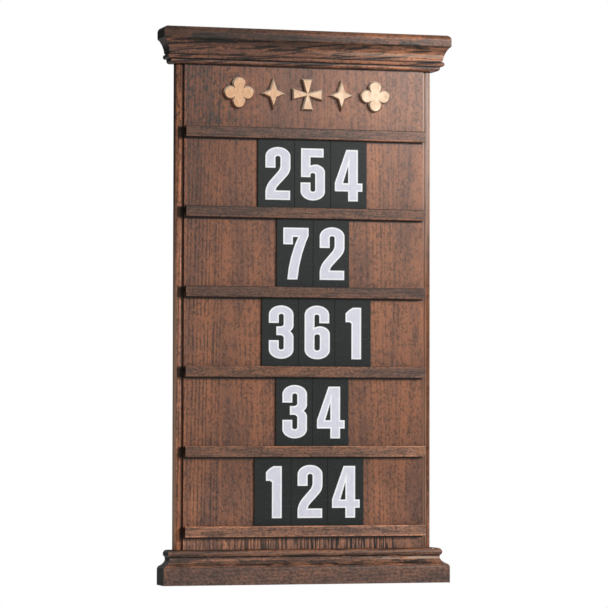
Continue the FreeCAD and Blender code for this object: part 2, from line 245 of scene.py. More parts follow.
def oak(name, grain, heart, ring=0.0058, lean=0.02, streaks=0.25, mottle=0.25, tone=1.0, staves=None,
        lacquer=0.5, sides=0.7):
    """Stained and lacquered oak, cut out of one log as a solid pattern. Grain is the axis that it grew along,
    heart the place of the log's middle in metres across the grain, ring the yearly growth, and lean how far
    the log tapers. Tone is how light the stain is. Streaks, mottle, lacquer, and sides, the dark of the faces
    that look sideways, are strengths from 0 to 1. Staves are the outermost joint of a board glued up of
    several, their width, and how far the log of the stave outside that joint lies off the others."""
    finish = new_finish(name)
    tree = finish.node_tree
    place = layer(tree, "TexCoord", {}, {}).outputs["Object"]
    log = layer(tree, "Mapping", {}, {"Vector": place, "Location": heart, "Rotation": lie_of_grain[grain]})
    log = log.outputs["Vector"]
    shade = tone
    line_depth = streaks
    if staves:
        first_joint, stave_width, edge_shift = staves
        across = layer(tree, "SeparateXYZ", {}, {0: place}).outputs[0]
        number = reckon("DIVIDE", reckon("SUBTRACT", across, first_joint), stave_width)
        number = reckon("ADD", reckon("FLOOR", number), 0.5)
        draw = layer(tree, "TexWhiteNoise", {"noise_dimensions": "1D"}, {"W": number})
        first, second, third = layer(tree, "SeparateXYZ", {}, {0: draw.outputs["Color"]}).outputs
        edge = band(across, first_joint + 0.0002, first_joint - 0.0002)
        sideways = reckon("SUBTRACT", product(first, 0.05), first_joint)
        sideways = reckon("SUBTRACT", sideways, product(number, stave_width))
        sideways = reckon("SUBTRACT", sideways, product(edge, edge_shift))
        shove = {0: sideways, 1: product(second, 0.02), 2: product(third, 0.9)}
        log = vector_sum("ADD", log, layer(tree, "CombineXYZ", {}, shove).outputs[0])
        shade = reckon("ADD", tone - 0.04, product(draw.outputs["Value"], 0.08))
        line_depth = reckon("ADD", streaks, product(edge, 0.50))

    def grown(scale, detail, rough=0.55):
        """Chance in the log. Scale is how many of it come to a metre across, across and along the grain.
        Detail is how many finer sizes are mixed in, and rough how strongly."""
        spot = vector_sum("MULTIPLY", log, scale)
        feeds = {"Vector": spot, "Scale": 1.0, "Detail": detail, "Roughness": rough}
        return layer(tree, "TexNoise", {}, feeds)

    # The log's yearly rings wander a little, lean with its taper, and differ in width
    wander = 0.008
    swing = vector_sum("SUBTRACT", grown((7, 7, 2.4), 2).outputs["Color"], (0.5, 0.5, 0.5))
    bent = vector_sum("ADD", log, vector_sum("MULTIPLY", swing, (wander, wander, 0)))
    along = layer(tree, "SeparateXYZ", {}, {0: bent}).outputs[2]
    flat = vector_sum("MULTIPLY", bent, (1, 1, 0))
    radius = layer(tree, "VectorMath", {"operation": "LENGTH"}, {0: flat}).outputs["Value"]
    radius = reckon("ADD", radius, product(along, lean))
    uneven = {"W": radius, "Scale": 70.0, "Detail": 1.0}
    uneven = layer(tree, "TexNoise", {"noise_dimensions": "1D"}, uneven).outputs[0]
    season = reckon("FRACT", reckon("ADD", reckon("DIVIDE", radius, ring), product(uneven, 1.6)))
    spring = product(band(season, 0.0, 0.12), band(season, 0.55, 0.25))

    # Chance of several sizes, from clouds of colour down to open pores and single fibres
    broad = grown((24, 24, 4), 3).outputs[0]
    patch = grown((80, 80, 30), 3, 0.6).outputs[0]
    dash = grown((265, 265, 190), 2, 0.6).outputs[0]
    vessel = grown((760, 760, 400), 1).outputs[0]
    fibre = grown((1500, 1500, 60), 2, 0.6).outputs[0]
    fleck = grown((240, 240, 130), 1).outputs[0]
    gap = grown((50, 50, 38), 3, 0.6).outputs[0]

    gather = product(reckon("ADD", product(spring, 0.5), patch), 0.10)
    dash = band(reckon("ADD", dash, gather), 0.585, 0.665)
    vessel = band(reckon("ADD", vessel, gather), 0.60, 0.68)
    broken = reckon("ADD", 0.25, product(band(gap, 0.42, 0.56), 0.75))

    # The colours, laid over each other from the ground up
    colour = over(band(broad, 0.34, 0.66), oak_orange, oak_brown)
    colour = over(product(band(patch, 0.42, 0.66), mottle), colour, oak_mauve)
    colour = over(product(spring, broken, line_depth), colour, oak_dark)
    colour = over(product(band(fleck, 0.55, 0.70), 0.40), colour, oak_orange)
    colour = over(product(band(fibre, 0.40, 0.70), 0.12), colour, oak_mauve)
    colour = over(product(dash, 0.43), colour, oak_pore)
    colour = over(product(vessel, 0.27), colour, oak_pore)
    colour = layer(tree, "VectorMath", {"operation": "SCALE"}, {0: colour, "Scale": shade}).outputs[0]

    # Faces that look sideways took more stain, and the back took less. They and the tops aren't lacquered
    facing = spread(finish, "Normal")
    side = band(reckon("ABSOLUTE", facing["X"]), 0.85, 0.97)
    back = band(facing["Y"], 0.85, 0.97)
    upward = band(facing["Z"], 0.85, 0.97)
    colour = over(product(side, sides), colour, oak_edge_and_shade)
    colour = over(product(back, 0.45), colour, oak_bare)

    dull = reckon("ADD", 0.45, product(vessel, 0.25))
    uncoated = reckon("MAXIMUM", upward, reckon("MAXIMUM", side, back))
    open_grain = relief(reckon("SUBTRACT", product(fibre, 0.35), vessel), 0.4, 0.0002)
    connect(shader_of(finish), {
        "Base Color": colour,
        "Roughness": reckon("ADD", dull, product(fibre, 0.12)),
        "Specular IOR Level": 0.0,
        "Normal": open_grain,
        "Coat Weight": product(lacquer, rest_of(uncoated)),
        "Coat Roughness": 0.22,
        "Coat Normal": open_grain,
    })
    return finish


def paint(finish, amount, colour, blend="MIX"):
    """Lays a colour over a finish. Amount is how far, from 0 to 1, either all over or as a node's output."""
    base = shader_of(finish).inputs["Base Color"].links[0].from_socket
    painted = over(amount, base, colour)
    painted.node.blend_type = blend
    connect(shader_of(finish), {"Base Color": painted})


def stain(finish, amount, times):
    """Multiplies the red, green and blue of a finish, as far as amount says."""
    paint(finish, amount, (*times, 1), "MULTIPLY")


def line_at(value, middle, half, soft):
    """One where a number is within half of middle, and nought further off, with a soft step of that width."""
    return band(reckon("ABSOLUTE", reckon("SUBTRACT", value, middle)), half + soft, half)


def marks(finish, stretch, low, high, detail=2, rough=0.5, slant=0.0):
    """Chance marks over a piece, nought below low and one above high. Stretch is how many come to a metre
    each way, detail how many finer sizes are mixed in, and rough how strongly. Slant turns the marks in the
    upright plane, in radians."""
    tree = finish.node_tree
    place = layer(tree, "TexCoord", {}, {}).outputs["Object"]
    if slant:
        place = layer(tree, "Mapping", {}, {"Vector": place, "Rotation": (0, slant, 0)}).outputs["Vector"]
    spot = vector_sum("MULTIPLY", place, stretch)
    feeds = {"Vector": spot, "Scale": 1.0, "Detail": detail, "Roughness": rough}
    return band(layer(tree, "TexNoise", {}, feeds).outputs[0], low, high)


def dress(finish, *names):
    """Puts a finish on pieces of the frame."""
    for name in names:
        mesh = nodes[name].data
        mesh.materials.clear()
        mesh.materials.append(finish)


board_staves = (last_joint, stave_step, last_stave_shift)
board_oak = oak("board_oak", "z", (0, 0.05, 0), staves=board_staves, sides=0.0)
board_across, board_deep, board_up = spread(board_oak)
board_aside = reckon("ABSOLUTE", board_across)
fore = band(board_deep, fore_start, fore_whole)
off_back = band(board_deep, back_end, fore_start)
left_hand = reckon("LESS_THAN", board_across, 0.0)
right_hand = reckon("GREATER_THAN", board_across, 0.0)
high_up = band(board_up, 0.0, 0.33)
low_down = band(board_up, -0.10, -0.35)
panel = band(board_aside, panel_half + 0.0002, panel_half - 0.0002)
on_bead = band(board_aside, bead_start - 0.0003, bead_rise)
header_left = product(band(board_across, -0.06, -0.13), band(board_up, 0.24, 0.27), fore)

# The panel is faded and painted lighter to the upper right, where the light and its sheen fall, darker to the
# upper left, and lighter in the bottom row
faded_and_painted_sheen = product(band(board_across, 0.0, 0.18), band(board_up, -0.25, 0.25), fore)
stain(board_oak, faded_and_painted_sheen, (1.46, 1.50, 1.47))
upper_left_darker = product(band(board_across, 0.0, -0.17), band(board_up, -0.05, 0.33), fore)
stain(board_oak, upper_left_darker, (0.78, 0.73, 0.70))
stain(board_oak, product(band(board_up, -0.26, -0.29), fore), (1.13, 1.16, 1.20))
blotched = product(marks(board_oak, (170, 170, 120), 0.53, 0.59, 3, 0.65), header_left, 0.75)
paint(board_oak, blotched, header_black)
flecked = product(marks(board_oak, (330, 330, 200), 0.52, 0.64, 2, 0.6), header_left, 0.7)
stain(board_oak, flecked, (1.40, 1.32, 1.25))

# Both beads are rubbed light. Painted light brightens the left bead, most of all its outer part, which faces
# away from the light, and a strip of its inner flank; it brightens the inner flank of the right bead, which
# lies in shade, and painted sheen makes the right bead paler towards its top. The right bead is darker
# outside
stain(board_oak, product(band(board_aside, bead_flank, bead_crown), fore), (1.65, 1.60, 1.55))
left_bead_painted_light = product(band(board_aside, bead_start - 0.0001, bead_rise), left_hand, fore)
left_bead_painted_light = product(left_bead_painted_light, band(board_up, -0.36, -0.12))
stain(board_oak, left_bead_painted_light, (1.40, 1.55, 1.70))
outer_left_painted_light = product(band(board_aside, board_half - 0.0029, board_half - 0.0015), left_hand, fore)
stain(board_oak, outer_left_painted_light, (1.55, 1.70, 1.80))
inner_left_painted_light = product(line_at(board_aside, bead_start + 0.0019, 0.0014, 0.0008), fore)
inner_left_painted_light = product(inner_left_painted_light, left_hand, line_at(board_up, 0.02, 0.12, 0.16))
stain(board_oak, inner_left_painted_light, (1.50, 1.55, 1.60))
inner_right_painted_light = product(line_at(board_aside, bead_rise, 0.0014, 0.0007), right_hand, fore)
paint(board_oak, product(inner_right_painted_light, 0.85), bead_painted_light)
right_bead_painted_sheen = product(line_at(board_aside, bead_start + 0.0017, 0.0026, 0.0012), right_hand, fore)
paint(board_oak, product(right_bead_painted_sheen, high_up, 0.85), bead_painted_sheen)
outer_right = product(band(board_aside, bead_start + 0.0020, bead_start + 0.0042), right_hand, fore)
outer_right = product(outer_right, rest_of(product(high_up, 0.55)), rest_of(low_down))
stain(board_oak, outer_right, (0.48, 0.51, 0.55))
bead_grain = product(marks(board_oak, (900, 900, 45), 0.44, 0.60, 2, 0.6), on_bead, fore)
stain(board_oak, product(bead_grain, 0.8), (0.72, 0.72, 0.74))
board_coat = shader_of(board_oak).inputs["Coat Weight"].links[0].from_socket
connect(shader_of(board_oak), {"Coat Weight": product(board_coat, rest_of(on_bead))})

# The board's own edges are stained dark, and the left one is worn light lower down
edge_of_board = band(board_aside, board_half - front_edge, board_half - 0.0004)
left_stain = product(band(board_up, -0.10, 0.25), band(board_deep, -0.017, -0.011), 0.85)
stained_edge = reckon("MAXIMUM", right_hand, left_stain)
paint(board_oak, product(edge_of_board, stained_edge, 0.85), end_stain)
worn_edge = product(edge_of_board, left_hand, band(board_up, 0.22, -0.10), band(board_deep, -0.002, -0.006))
worn_edge = product(worn_edge, marks(board_oak, (40, 200, 30), 0.20, 0.45))
paint(board_oak, product(worn_edge, 0.80), edge_worn)

# Painted light makes the right quirk pale, most of all high up and less so low down, and painted sheen
# lightens the right quirk and bead high up. The arrises of the panel are rubbed or dark
quirk = product(line_at(board_aside, quirk_middle, quirk_half, 0.0004), off_back)
right_quirk_painted_light = product(quirk, right_hand)
paint(board_oak, product(right_quirk_painted_light, 0.45), quirk_painted_light)
paint(board_oak, product(right_quirk_painted_light, high_up), quirk_painted_sheen)
paint(board_oak, product(right_quirk_painted_light, low_down, 0.5), bead_painted_light)
dark_arris = line_at(board_across, panel_half - 0.0011, 0.0010, 0.0008)
paint(board_oak, product(dark_arris, low_down, fore, 0.6), oak_edge_and_shade)
right_bead_painted_grey_sheen = product(band(board_across, quirk_middle, bead_flank), fore, high_up, 0.50)
paint(board_oak, right_bead_painted_grey_sheen, sheen_grey)
arris_line = line_at(board_across, 0.0020 - panel_half, 0.0014, 0.0008)
arris_line = product(arris_line, reckon("ADD", 0.3, product(high_up, 0.7)), fore)
stain(board_oak, arris_line, (1.60, 1.45, 1.30))
shade_line = line_at(board_across, 0.0063 - panel_half, 0.0010, 0.0012)
shade_line = product(shade_line, reckon("MAXIMUM", high_up, low_down), fore, 0.5)
paint(board_oak, shade_line, oak_dark)

# Painted shadow: the left quirk is darkened, a dark line runs along the board under the cornice and under
# each rail, and a dark patch lies at each rail's left end, where its shadow falls
end_shadow_widths = {
    "header_rail": 0.0098, "rail_1": 0.0100, "rail_2": 0.0096,
    "rail_3": 0.0092, "rail_4": 0.0070, "rail_5": 0.0020,
}
end_shadow_height = 0.0148
end_shadow_drop = 0.0010
shadow_line_half = 0.0014
cornice_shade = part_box("cornice_front")[0].z - 0.0016
painted_shadow = product(quirk, left_hand, 0.28)
painted_end_shadow = 0.0
for rail_name, end_shadow_width in end_shadow_widths.items():
    low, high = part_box(rail_name)
    under = product(line_at(board_up, low.z - shadow_line_half, shadow_line_half, 0.0006), panel)
    painted_shadow = reckon("MAXIMUM", painted_shadow, under)
    beside = line_at(board_across, -panel_half - end_shadow_width / 2, end_shadow_width / 2, 0.0014)
    level = line_at(board_up, (low.z + high.z) / 2 - end_shadow_drop, end_shadow_height / 2, 0.0020)
    painted_end_shadow = reckon("MAXIMUM", painted_end_shadow, product(beside, level))
painted_shadow = reckon("MAXIMUM", painted_shadow, band(board_up, cornice_shade - 0.0008, cornice_shade))
paint(board_oak, product(painted_shadow, off_back, 0.90), oak_edge_and_shade)
paint(board_oak, product(painted_end_shadow, fore, 0.82), end_shadow_black)

# The strip under the lowest rail is lighter, and its grain is torn, most of all right of the middle
strip_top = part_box("rail_5")[0].z - 0.0028
strip = product(band(board_up, strip_top, strip_top - 0.0006), panel, fore)
stain(board_oak, strip, (1.35, 1.46, 1.55))
torn = product(marks(board_oak, (300, 60, 14), 0.46, 0.55, 1), strip)
torn_most = line_at(board_across, 0.075, 0.055, 0.02)
torn_left = product(band(board_across, -0.08, -0.15), 0.25)
stain(board_oak, product(strip, torn_left), (2.2, 2.2, 2.2))
torn_how = reckon("SUBTRACT", reckon("ADD", 0.66, product(torn_most, 0.30)), torn_left)
torn_how = product(torn_how, band(board_across, 0.165, 0.135))
paint(board_oak, product(torn, reckon("ADD", 0.12, torn_how)), oak_pore)
dress(board_oak, "back_board")


# The cornice. One length of oak is moulded with an ovolo, a cove and a bead, mitred at both ends and returned
# along the sides of the board. It is screwed on from behind, and its returns are glued and pinned. Its left
# half is darker, and painted light brightens its right half and strips along its mouldings. Painted shade
# lies along the top of the cove and under and over the bead, and years of smoke have blackened the open grain
# along the top of the cove.
cornice_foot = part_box("cornice_front")[0].z
crown_foot = 0.048
cove_top = 0.040
cove_foot = 0.0215
cornice_highlight_pale = tint(206, 180, 160)
cornice_black = tint(33, 35, 32)


def wear_and_light_lines(finish, height, lines, colour, breaks=(0.30, 0.50), blend="MULTIPLY"):
    """Broken lines along a piece. Each line is its height, half its width, and its strength. Breaks are the
    low and the high of the chance marks that break it up."""
    for middle, half, strength in lines:
        line = product(line_at(height, middle, half, 0.0006), strength)
        paint(finish, product(line, marks(finish, (60, 200, 200), *breaks)), colour, blend)


def flashes(finish, blotches, streaks, slant=0.0, lengths=(19, 27)):
    """Near-black blotches and streaks of stain in open grain that runs along x, as strong as the first two
    numbers say. Slant turns them, in radians, and lengths are how many of each come to a metre."""
    tongue = reckon("ADD", 0.65, product(marks(finish, (24, 380, 380), 0.42, 0.56), 0.35))
    blotch = marks(finish, (lengths[0], 85, 85), 0.545, 0.625, 3, 0.55, slant)
    blotch = product(blotch, product(tongue, blotches))
    streak = product(marks(finish, (lengths[1], 235, 235), 0.54, 0.61, 1, 0.5, slant), streaks)
    paint(finish, reckon("MAXIMUM", blotch, streak), oak_pore)


cornice_oak = oak(
    "cornice_oak", "x", (0.03, 0.075, 0), lean=0.05, streaks=0.4, mottle=0.5, tone=0.95, lacquer=0.35
)
cornice_across = spread(cornice_oak)["X"]
cornice_rise = reckon("SUBTRACT", spread(cornice_oak)["Z"], cornice_foot)
below_crown = band(cornice_rise, crown_foot, crown_foot - 0.002)
in_cove = band(cornice_rise, cove_top, cove_top - 0.006)
on_fascia = band(cornice_rise, cove_top - 0.004, cove_top + 0.002)
lit = band(cornice_across, -0.05, 0.20)
cove_streaks = reckon("ADD", 0.14, product(in_cove, 0.76))
flashes(cornice_oak, product(below_crown, 0.45), cove_streaks, slant=0.10, lengths=(12, 15))
# Painted light makes the right half lighter, where the light falls
stain(cornice_oak, lit, (1.46, 1.48, 1.46))
stain(cornice_oak, in_cove, (1.16, 1.20, 1.26))
# Darker at the left along the upper cove, and at the left end of the fascia
cornice_left_darker = product(band(cornice_across, 0.05, -0.20), band(cornice_rise, 0.028, 0.040))
stain(cornice_oak, cornice_left_darker, (0.62, 0.67, 0.70))
dark_corner = product(band(cornice_across, -0.185, -0.210), on_fascia)
stain(cornice_oak, dark_corner, (0.62, 0.64, 0.66))

# Painted highlights where the mouldings catch the light: height, half the width, strength, and where along
# the cornice
painted_highlight_strips = {
    "crown": (crown_foot - 0.0002, 0.0014, 1.0, lit),
    "cove": (cove_foot, 0.0024, 0.9, lit),
    "quirk": (0.0165, 0.0014, 0.9, lit),
    "bead": (0.0100, 0.0016, 0.2, 1.0),
    "foot": (0.0033, 0.0008, 0.6, 1.0),
}
for middle, half, strip_strength, where in painted_highlight_strips.values():
    bright = product(line_at(cornice_rise, middle, half, 0.0008), strip_strength, where)
    stain(cornice_oak, bright, (1.55, 1.68, 1.78))
# A pale painted highlight along the foot of the cove, on the right
cove_foot_highlight = product(line_at(cornice_rise, cove_foot, 0.0020, 0.0010), lit)
paint(cornice_oak, product(cove_foot_highlight, 0.42), cornice_highlight_pale)
stain(cornice_oak, product(on_fascia, lit), (1.02, 0.93, 0.84))

# Painted shade lies along the top of the cove, which looks down, heaviest in the middle, and the open grain
# there is burnt black
cove_shade_right = product(band(cornice_across, 0.24, 0.02), 0.55)
cove_shade = product(band(cornice_across, -0.24, -0.02), reckon("ADD", 0.45, cove_shade_right))
cove_shade = product(line_at(cornice_rise, cove_top - 0.0035, 0.0055, 0.0050), cove_shade, 0.9)
stain(cornice_oak, cove_shade, (0.42, 0.50, 0.56))
cornice_tongues = reckon("ADD", 0.5, product(marks(cornice_oak, (30, 420, 420), 0.42, 0.56), 0.5))
cornice_burnt = product(marks(cornice_oak, (15, 42, 42), 0.51, 0.57, 3, 0.6), cornice_tongues, 0.92)
cornice_burnt = product(cornice_burnt, line_at(cornice_rise, cove_top - 0.0025, 0.0050, 0.0050))
paint(cornice_oak, cornice_burnt, cornice_black)
# Painted shade in two dark lines, under the bead and in the quirk above it
cornice_shade_lines = [(0.0061, 0.0006, 1.0), (0.0130, 0.0007, 0.6)]
wear_and_light_lines(cornice_oak, cornice_rise, cornice_shade_lines, oak_edge_and_shade, (0.10, 0.30), "MIX")
dress(cornice_oak, "cornice_front")

cornice_return_oak = oak("cornice_return_oak", "y", (0.03, 0.05, 0), tone=0.8, lacquer=0.1)
paint(cornice_return_oak, 0.75, end_stain)
dress(cornice_return_oak, "cornice_return_left", "cornice_return_right")


# The base. A plain plinth under a cove and a torus, mitred, returned and fixed as the cornice is. The stain
# is cloudy on the plinth and has blackened the cove, and the fillet over it is worn pale at the right, where
# it is also painted lighter as it catches the light. Painted light brightens the cove, painted highlights run
# along the arrises, and a line of painted shade runs under the torus.
base_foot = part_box("base_front")[0].z
plinth_top = 0.028
base_black = tint(38, 38, 37)
fillet_pale_and_highlight = tint(200, 176, 156)
base_return_stain = tint(92, 98, 98)

base_oak = oak("base_oak", "x", (0.05, 0.06, 0), lean=0.04, streaks=0.3, mottle=0.4, tone=0.95)
base_across = spread(base_oak)["X"]
base_rise = reckon("SUBTRACT", spread(base_oak)["Z"], base_foot)
plinth = band(base_rise, plinth_top, plinth_top - 0.004)
moulded = rest_of(plinth)
stain(base_oak, plinth, (0.92, 1.07, 1.26))
cloudy = product(marks(base_oak, (200, 260, 260), 0.45, 0.60, 3, 0.65), plinth, 0.60)
paint(base_oak, cloudy, oak_pore)
flashes(base_oak, product(moulded, 0.6), product(moulded, 0.65), slant=0.04, lengths=(14, 17))
stain(base_oak, moulded, (0.98, 1.12, 1.24))
# Painted light brightens the cove, which looks up into the light
stain(base_oak, line_at(base_rise, plinth_top + 0.0050, 0.0040, 0.0020), (1.28, 1.28, 1.28))
base_tongues = reckon("ADD", 0.45, product(marks(base_oak, (40, 420, 420), 0.42, 0.56), 0.55))
base_cove = line_at(base_rise, plinth_top + 0.0045, 0.0034, 0.0022)
base_burnt = product(marks(base_oak, (26, 55, 55), 0.49, 0.55, 3, 0.6), base_cove)
paint(base_oak, product(base_burnt, base_tongues, 0.95), base_black)
# Painted highlights along the plinth's top arris, the fillet and the top of the torus, and a line of painted
# shade under the torus
highlight_lines = [(0.0281, 0.0010, 0.9), (0.0377, 0.0012, 0.7), (0.0500, 0.0012, 0.4)]
wear_and_light_lines(base_oak, base_rise, highlight_lines, (1.75, 1.65, 1.60, 1))
wear_and_light_lines(base_oak, base_rise, [(0.0416, 0.0009, 0.95)], oak_edge_and_shade, blend="MIX")
# The fillet is worn pale at the right, and painted lighter there where it catches the light
fillet_wear_and_highlight = product(line_at(base_rise, 0.0381, 0.0014, 0.0006), band(base_across, 0.08, 0.15))
fillet_wear_and_highlight = product(fillet_wear_and_highlight, marks(base_oak, (30, 200, 200), 0.40, 0.52))
paint(base_oak, product(fillet_wear_and_highlight, 0.60), fillet_pale_and_highlight)
dress(base_oak, "base_front")

base_return_oak = oak("base_return_oak", "y", (0.04, 0.03, 0), tone=0.8, lacquer=0.1)
paint(base_return_oak, 0.75, base_return_stain)
dress(base_return_oak, "base_return_left", "base_return_right")


# The rails. Six strips of oak with a lip in front, each rebated along its top to hold the feet of the cards
# and under its foot to hold the heads of the cards below. They are screwed on from behind. The lower ones are
# handled more, so their arrises are worn lighter.
rail_ring = 0.0036
first_heart = (0.02, 0.055, 0)
next_heart = (0.013, -0.004, 0.37)
arris_half = 0.0008

# Tone, wear of the top arris, wear of the foot arris, how much of that is at the left, and blotches
rail_looks = {
    "header_rail": (0.84, 0.0, 0.9, 0.25, 0.0),
    "rail_1": (0.74, 0.0, 0.6, 0.25, 0.0),
    "rail_2": (0.72, 0.1, 0.5, 0.25, 0.35),
    "rail_3": (0.84, 0.3, 0.5, 0.25, 0.35),
    "rail_4": (1.00, 0.8, 0.5, 0.80, 0.35),
    "rail_5": (1.38, 1.0, 0.8, 0.80, 0.0),
}
upper_rails = ("header_rail", "rail_1", "rail_2")

for number, (rail_name, looks) in enumerate(rail_looks.items()):
    tone, top_wear, foot_wear, foot_wear_left, blotches = looks
    low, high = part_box(rail_name)
    heart = [first + number * step for first, step in zip(first_heart, next_heart)]
    rail_oak = oak(rail_name + "_oak", "x", heart, ring=rail_ring, streaks=0.3, mottle=0.4, tone=tone)
    rail_across = spread(rail_oak)["X"]
    rail_up = spread(rail_oak)["Z"]
    specks = marks(rail_oak, (230, 600, 430), 0.55, 0.63)
    crowd = reckon("ADD", 0.35, product(marks(rail_oak, (45, 90, 90), 0.42, 0.60), 0.65))
    paint(rail_oak, product(specks, crowd, 0.75), oak_pore)
    stain(rail_oak, 1.0, (0.97, 1.07, 1.14))
    if rail_name not in upper_rails:
        stain(rail_oak, band(rail_across, -0.02, 0.15), (1.22, 1.26, 1.28))
    wear_and_light_lines(rail_oak, rail_up, [(high.z - 0.0006, arris_half, top_wear)], (2.10, 1.95, 1.75, 1), (0.20, 0.40))
    foot_light = reckon("ADD", foot_wear_left, band(rail_across, -0.05, 0.16))
    foot_arris = line_at(rail_up, low.z + arris_half, arris_half, 0.0006)
    foot_light = reckon("MINIMUM", product(foot_light, foot_wear, foot_arris), 1.0)
    stain(rail_oak, foot_light, (1.8, 1.7, 1.6))
    if rail_name in upper_rails:
        wear_and_light_lines(rail_oak, rail_up, [(high.z - 0.0004, 0.0006, 0.5)], oak_edge_and_shade, (0.10, 0.30), "MIX")
    flashes(rail_oak, blotches, 0.45)
    dress(rail_oak, rail_name)


# The number cards. Stiff black card, cut with rounded corners, one number on each. They stand loose in the
# rails, and handling has scuffed their faces and greyed their cut edges.
card_black = tint(36, 40, 38)
card_grey = tint(70, 74, 73)

card_finish = new_finish("card_black")
card_fibre = marks(card_finish, (1400, 1400, 500), 0.42, 0.66, 3, 0.6)
card_scuff = marks(card_finish, (35, 200, 260), 0.60, 0.72, 3, 0.7)
card_rim = band(reckon("ABSOLUTE", spread(card_finish, "Normal")["Y"]), 0.92, 0.70)
card_colour = over(product(card_fibre, 0.25), card_black, card_grey)
card_colour = over(product(card_scuff, 0.30), card_colour, card_grey)
card_colour = over(product(card_rim, 0.35), card_colour, card_grey)
card_dull = reckon("ADD", 0.26, product(card_fibre, 0.06))
connect(shader_of(card_finish), {
    "Base Color": card_colour,
    "Roughness": reckon("ADD", card_dull, product(card_scuff, 0.12)),
    "Specular IOR Level": 0.12,
    "Normal": relief(card_fibre, 0.25, 0.00004),
})
dress(card_finish, *[name for name in nodes if "_card_" in name])


# The numbers. Bold narrow figures are screen printed on the cards in pale grey with a white edge.
# Each outline is drawn in millimetres from its lower left corner. A third number bends that run, in degrees,
# and a bend to the left is positive. The figure is drawn taller than it is, bent round, and then squeezed.
millimetres_to_a_metre = 1000
figure_squeeze = 0.72
figure_edge = 0.0023
figure_foot = 0.0115
arc_step = 7.5
fewest_steps = 3
no_length = 1e-6
merge_reach = 1e-5
ink_height = 0.00008
card_foot_hidden = 0.0033

figure_outlines = {
    1: [
        [
            (9.9, 0), (25.3, 0), (25.3, 78.6), (12.2, 78.6),
            (0.4, 69.6, 25), (0.4, 56.4), (7.4, 56.4), (9.9, 54.6, 60),
        ]
    ],
    2: [
        [
            (0, 48.6), (0, 66.0), (39.4, 66.0, -180), (39.4, 51.5), (33.8, 36.4, -36), (19.4, 21.0),
            (16.3, 14.3, 30), (39.0, 14.3), (39.0, 0), (0, 0), (0, 8.5), (6.4, 28.0, -32),
            (19.0, 42.2), (23.7, 53.0, 34), (23.7, 63.8), (15.8, 63.8, 180), (15.8, 48.6),
        ]
    ],
    3: [
        [
            (0, 54.2), (0, 66.8), (38.8, 66.8, -180), (38.8, 52.0), (33.6, 41.7, -50), (38.8, 32.0, -50),
            (38.8, 14.0), (0, 14.0, -180), (0, 28.1), (15.6, 28.1), (15.6, 16.8), (23.4, 16.8, 180),
            (23.4, 30.5), (18.4, 35.7, 90), (11.8, 35.7), (11.8, 49.0), (18.6, 49.0), (23.4, 53.6, 90),
            (23.4, 65.2), (15.6, 65.2, 180), (15.6, 54.2),
        ]
    ],
    4: [
        [
            (21.4, 0), (36.9, 0), (36.9, 15.0), (44.2, 15.0), (44.2, 27.6), (36.9, 27.6),
            (36.9, 78.6), (18.4, 78.6), (0.2, 28.0), (0.2, 15.0), (21.4, 15.0),
        ],
        [(13.3, 27.6), (21.4, 27.6), (21.4, 54.0)],
    ],
    5: [
        [
            (0.7, 79.3), (36.4, 79.3), (36.4, 65.9), (15.6, 65.9), (15.6, 53.2), (24.6, 55.0, -24),
            (38.6, 42.0, -86), (38.6, 14.0), (0, 14.0, -180), (0, 27.3), (15.6, 27.3), (15.6, 16.2),
            (23.2, 16.2, 180), (23.2, 39.2), (15.6, 39.2, 180), (15.6, 35.5), (0.7, 35.5),
        ]
    ],
    6: [
        [
            (39.0, 54.4), (39.0, 67.0), (0, 67.0, 180), (0, 14.0), (40.0, 14.0, 180), (40.0, 37.5),
            (25.0, 49.8, 86), (15.6, 47.6, 30), (15.6, 64.7), (23.2, 64.7, -180), (23.2, 54.4),
        ],
        [(15.6, 16.0), (24.2, 16.0, 180), (24.2, 34.4), (15.6, 34.4, 180)],
    ],
    7: [
        [
            (6.5, 0), (22.4, 0), (36.2, 58.0, -12), (40.0, 66.4), (40.0, 78.6), (0, 78.6),
            (0, 53.2), (15.2, 53.2), (15.2, 64.6), (23.6, 64.6), (17.4, 50.0, 6), (6.5, 0, 12),
        ]
    ],
}

# The figure on each card, and how far in millimetres it sits right of the card's middle
hung_numbers = {
    "row1_card_left": (2, 2.7), "row1_card_middle": (5, 0.3), "row1_card_right": (4, -0.2),
    "row2_card_left": (7, 1.6), "row2_card_right": (2, 1.4),
    "row3_card_left": (3, 1.6), "row3_card_middle": (6, 1.0), "row3_card_right": (1, 0.8),
    "row4_card_left": (3, 0.9), "row4_card_right": (4, 0.5),
    "row5_card_left": (1, 1.8), "row5_card_middle": (2, 1.2), "row5_card_right": (4, 0.5),
}


def outline_point(across, rise):
    """A point of an outline in metres, at the taller height that the figure has before it is squeezed."""
    return Vector((across / millimetres_to_a_metre, 0, rise / millimetres_to_a_metre / figure_squeeze))


